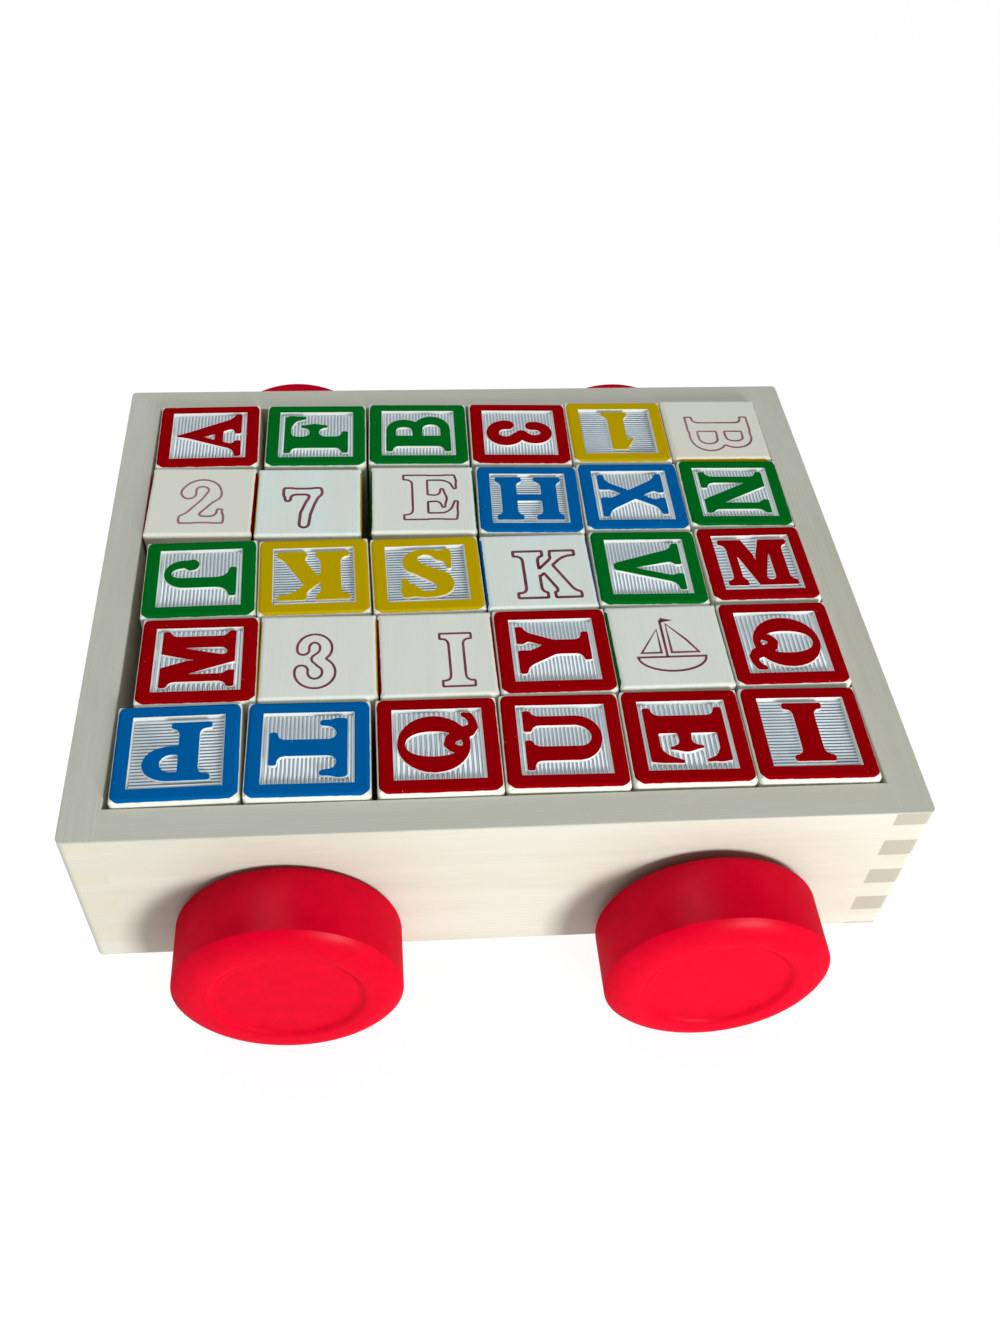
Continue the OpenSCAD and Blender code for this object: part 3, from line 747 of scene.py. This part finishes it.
# Printed letters have slimmer stems and sharper corners than raised ones
PRINT_SLIM, PRINT_EASE = 0.88, 0.35
PRINT_HEIGHT = 24.5 * MM
# The shares of that height that a print takes across and up
PRINT_SHARE, PICTURE_SHARE = (0.86, 1), (1, 1)
PRINT_SHARES = {"B": (1, 1), "I": (0.78, 0.965), "K": (0.86, 0.965), "2": (0.94, 1), "3": (0.9, 1),
                "7": (0.8, 0.92), "E": (0.9, 1.03)}


def arc(cx, cy, rx, ry, start, end, steps=16):
    """Points along part of an oval, from one angle to another."""
    angles = [math.radians(start + (end - start) * k / steps) for k in range(steps + 1)]
    return [(cx + rx * math.cos(a), cy + ry * math.sin(a)) for a in angles]


PICTURES = {
    "boat": [("ring", arc(0.5, 0.28, 0.46, 0.26, 180, 360)), ("line", [(0.44, 0.28), (0.44, 0.98)]),
             ("ring", [(0.51, 0.36), (0.88, 0.36), (0.74, 0.60), (0.51, 0.90)]),
             ("ring", [(0.37, 0.36), (0.10, 0.36), (0.37, 0.80)]),
             ("patch", [(0.45, 0.93), (0.62, 0.97), (0.45, 1.02)])],
    "house": [("ring", [(0.16, 0.04), (0.84, 0.04), (0.84, 0.56), (0.16, 0.56)]),
              ("ring", [(0.06, 0.56), (0.94, 0.56), (0.5, 0.96)]),
              ("ring", [(0.26, 0.05), (0.42, 0.05), (0.42, 0.36), (0.26, 0.36)]),
              ("ring", [(0.56, 0.22), (0.74, 0.22), (0.74, 0.40), (0.56, 0.40)])],
    "star": [("ring", [(0.5 + r * math.sin(k * math.pi / 5), 0.48 + r * math.cos(k * math.pi / 5))
                       for k, r in enumerate([0.5, 0.2] * 5)])],
    "ball": [("ring", arc(0.5, 0.5, 0.46, 0.46, 0, 348, 30)), ("line", arc(0.02, 0.5, 0.4, 0.5, -57, 57)),
             ("line", arc(0.98, 0.5, 0.4, 0.5, 123, 237)), ("line", [(0.42, 0.5), (0.58, 0.5)])],
    "fish": [("ring", arc(0.42, 0.38, 0.42, 0.34, 20, 160, 14) + arc(0.42, 0.62, 0.42, 0.34, 200, 340, 14)),
             ("ring", [(0.80, 0.50), (0.97, 0.68), (0.93, 0.50), (0.97, 0.32)]),
             ("patch", arc(0.22, 0.54, 0.03, 0.03, 0, 330, 8))],
    "tree": [("ring", arc(0.5, 0.66, 0.34, 0.31, -76, 256, 24)), ("line", [(0.43, 0.35), (0.42, 0.04)]),
             ("line", [(0.57, 0.35), (0.58, 0.04)]), ("line", [(0.28, 0.04), (0.72, 0.04)])],
}


def ink_line(line, closed, wide):
    """A flat ribbon of ink along a line, a closed solid with a little thickness."""
    half = wide / 2
    inner, outer = moved_out(line, -half, closed), moved_out(line, half, closed)
    around = ((outer, -INK_SINK), (outer, INK_RISE), (inner, INK_RISE), (inner, -INK_SINK))
    rings = [[(*p, z) for p in side] for side, z in (*around, around[0])]
    faces = stitched(rings, closed)
    count = len(line)
    faces = [tuple(k % (4 * count) for k in face) for face in faces]
    if not closed:
        faces += [tuple(r * count for r in (0, 1, 2, 3)), tuple(r * count + count - 1 for r in (3, 2, 1, 0))]
    return [p for ring in rings[:4] for p in ring], faces


def ink_patch(line):
    """A filled spot of ink."""
    count = len(line)
    rings = [[(*p, z) for p in line] for z in (-INK_SINK, INK_RISE)]
    faces = stitched(rings) + [tuple(range(count - 1, -1, -1)), tuple(range(count, 2 * count))]
    return rings[0] + rings[1], faces


def stamp(name, wide=INK_WIDTH):
    """Points, faces and finishes of a printed letter or picture about a face's centre."""
    strokes = PICTURES.get(name) or [("ring", loop) for loop in outlines(name, PRINT_SLIM, PRINT_EASE)]
    across, high = PRINT_SHARES.get(name, PICTURE_SHARE if name in PICTURES else PRINT_SHARE)
    points, faces = [], []
    for kind, line in strokes:
        line = [((x - 0.5) * PRINT_HEIGHT * across, (y - 0.5) * PRINT_HEIGHT * high) for x, y in line]
        new_points, new_faces = ink_patch(line) if kind == "patch" else ink_line(line, kind == "ring", wide)
        faces += [tuple(k + len(points) for k in face) for face in new_faces]
        points += new_points
    return points, faces, [0] * len(faces)


def stamping_ink(name, dark, thin):
    """Matt ink that lets the wood show through where the stamp gave less of it."""
    material, tree, shader, place = new_material(name)
    cover = add_node(tree, "ShaderNodeTexNoise",
                     {"Vector": place, "Scale": 1 / INK_PATCH, "Detail": 4, "Roughness": 0.7})
    cover = add_node(tree, "ShaderNodeMapRange", {"Value": cover, **PATCH_SPAN})
    tone = add_node(tree, "ShaderNodeMix", {0: cover, 6: linear(dark), 7: linear(thin)}, data_type="RGBA")
    tree.links.new(tone.outputs[2], shader.inputs["Base Color"])
    shader.inputs["Roughness"].default_value = 0.7
    return material


full_ink = stamping_ink("maroon_stamping_ink", INK_DARK, INK_THIN)
faint_ink = stamping_ink("worn_maroon_stamping_ink", WORN_DARK, WORN_THIN)
stamps = {name: stamp(name) for name in (*GLYPHS, *PICTURES)}
# Millimetres by which the stamp missed the middle of a top
STAMPED_OFF = {"second_row_block_2": (-1.1, -2.2), "second_row_block_3": (6.3, -3.1),
               "middle_row_block_4": (2.7, -2.2), "fourth_row_block_1": (0.5, -0.3),
               "fourth_row_block_2": (-2.2, -3.9), "fourth_row_block_3": (2.8, 0.8),
               "back_row_block_6": (3.8, 1.4)}
# The printed sides take letters and pictures in turn
drawn = list(PICTURES)
SIDE_STEP, SIDE_SKIP = 7, 4
for number, node in enumerate(blocks):
    lie, sunk = lies[node]
    parts, count = [], 0
    for axis in range(3):
        for way in FACE_PAIRS[axis] if axis != sunk else ():
            if way == "top":
                name, turn = tops[node]
            else:
                name = spare[(SIDE_STEP * number + SIDE_SKIP * count) % len(spare)]
                if count % 2:
                    name = drawn[(number + count) % len(drawn)]
                turn = 90 * ((number + count) % 4)
                count += 1
            aside = Matrix.Translation([MM * shift for shift in (*STAMPED_OFF.get(node, (0, 0)), 0)])
            inked = stamp(name, BOLD_INK) if way == "top" and node in BOLD_PRINTS else stamps[name]
            parts.append((lie @ face_place(way, turn) @ (aside if way == "top" else Matrix()), inked))
    piece = joined(f"{node}_prints", parts, [faint_ink if node in FAINT_PRINTS else full_ink], smooth=False)
    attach(piece, node)

# Studio
# A plain pale floor, one soft light from the front right, low enough to reach under the rims, and a large
# cool one like a window, high behind the left end, which lights the tops and the sunk floors.
PAPER, PAPER_GLOW, SKY_STRENGTH = "646464", 0.92, 0.2
# Each light's place in metres, the side of its square, its power in watts and its colour
LIGHTS = {"key_light": ((0.5, -1.06, 0.3), 0.3, 13.2, "FFFFFF"),
          "window_light": ((-0.35, 0.35, 1.2), 0.8, 8, "F2F8FF")}
LIT_POINT = Vector((0, 0, 0.05))
mesh = bpy.data.meshes.new("studio_floor")
mesh.from_pydata([(-6, -6, 0), (6, -6, 0), (6, 6, 0), (-6, 6, 0)], [], [(0, 1, 2, 3)])
floor = bpy.data.objects.new("studio_floor", mesh)
bpy.context.scene.collection.objects.link(floor)
# Matt paper with light behind it, so that it stays white and takes only a faint shadow
material, tree, shader, place = new_material("pale_studio_paper")
shader.inputs["Base Color"].default_value = linear(PAPER)
shader.inputs["Roughness"].default_value = 0.9
shader.inputs["Emission Color"].default_value = linear("FFFFFF")
shader.inputs["Emission Strength"].default_value = PAPER_GLOW
floor.data.materials.append(material)
floor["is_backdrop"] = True

world = bpy.data.worlds.new("studio")
bpy.context.scene.world = world
world.use_nodes = True
world.node_tree.nodes["Background"].inputs["Color"].default_value = linear("FFFFFF")
world.node_tree.nodes["Background"].inputs["Strength"].default_value = SKY_STRENGTH
for name, (place, size, power, colour) in LIGHTS.items():
    lamp = bpy.data.lights.new(name, "AREA")
    lamp.size, lamp.energy, lamp.color = size, power, linear(colour)[:3]
    light = bpy.data.objects.new(name, lamp)
    light.location = place
    light.rotation_euler = (LIT_POINT - Vector(place)).to_track_quat("-Z", "Y").to_euler()
    bpy.context.scene.collection.objects.link(light)
bpy.context.scene.view_settings.view_transform = "Standard"

# Camera
# It stands where the photographer did: in front, well above, and turned a little. The lens is shifted,
# because the photograph's frame isn't centred on its line of sight.
CAMERA_PLACE = Vector((-0.03429, -0.31974, 0.37241))
CAMERA_RISE, CAMERA_TURN, CAMERA_ROLL = (math.radians(a) for a in (51.38, -6.571, 3.252))
LENS, SENSOR, LENS_SHIFT, CLIP = 33.09, 36, (0.01875, 0.0851), (0.01, 20)
back = Vector((math.sin(CAMERA_TURN) * math.cos(CAMERA_RISE),
               -math.cos(CAMERA_TURN) * math.cos(CAMERA_RISE), math.sin(CAMERA_RISE)))
level = Vector((0, 0, 1)).cross(back).normalized()
over = back.cross(level)
right = math.cos(CAMERA_ROLL) * level + math.sin(CAMERA_ROLL) * over
up = back.cross(right)
camera = bpy.data.objects.new("camera", bpy.data.cameras.new("camera"))
camera.matrix_world = Matrix.Translation(CAMERA_PLACE) @ Matrix((right, up, back)).transposed().to_4x4()
camera.data.lens, camera.data.sensor_width = LENS, SENSOR
camera.data.shift_x, camera.data.shift_y = LENS_SHIFT
camera.data.clip_start, camera.data.clip_end = CLIP
bpy.context.scene.collection.objects.link(camera)
bpy.context.scene.camera = camera

low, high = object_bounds()
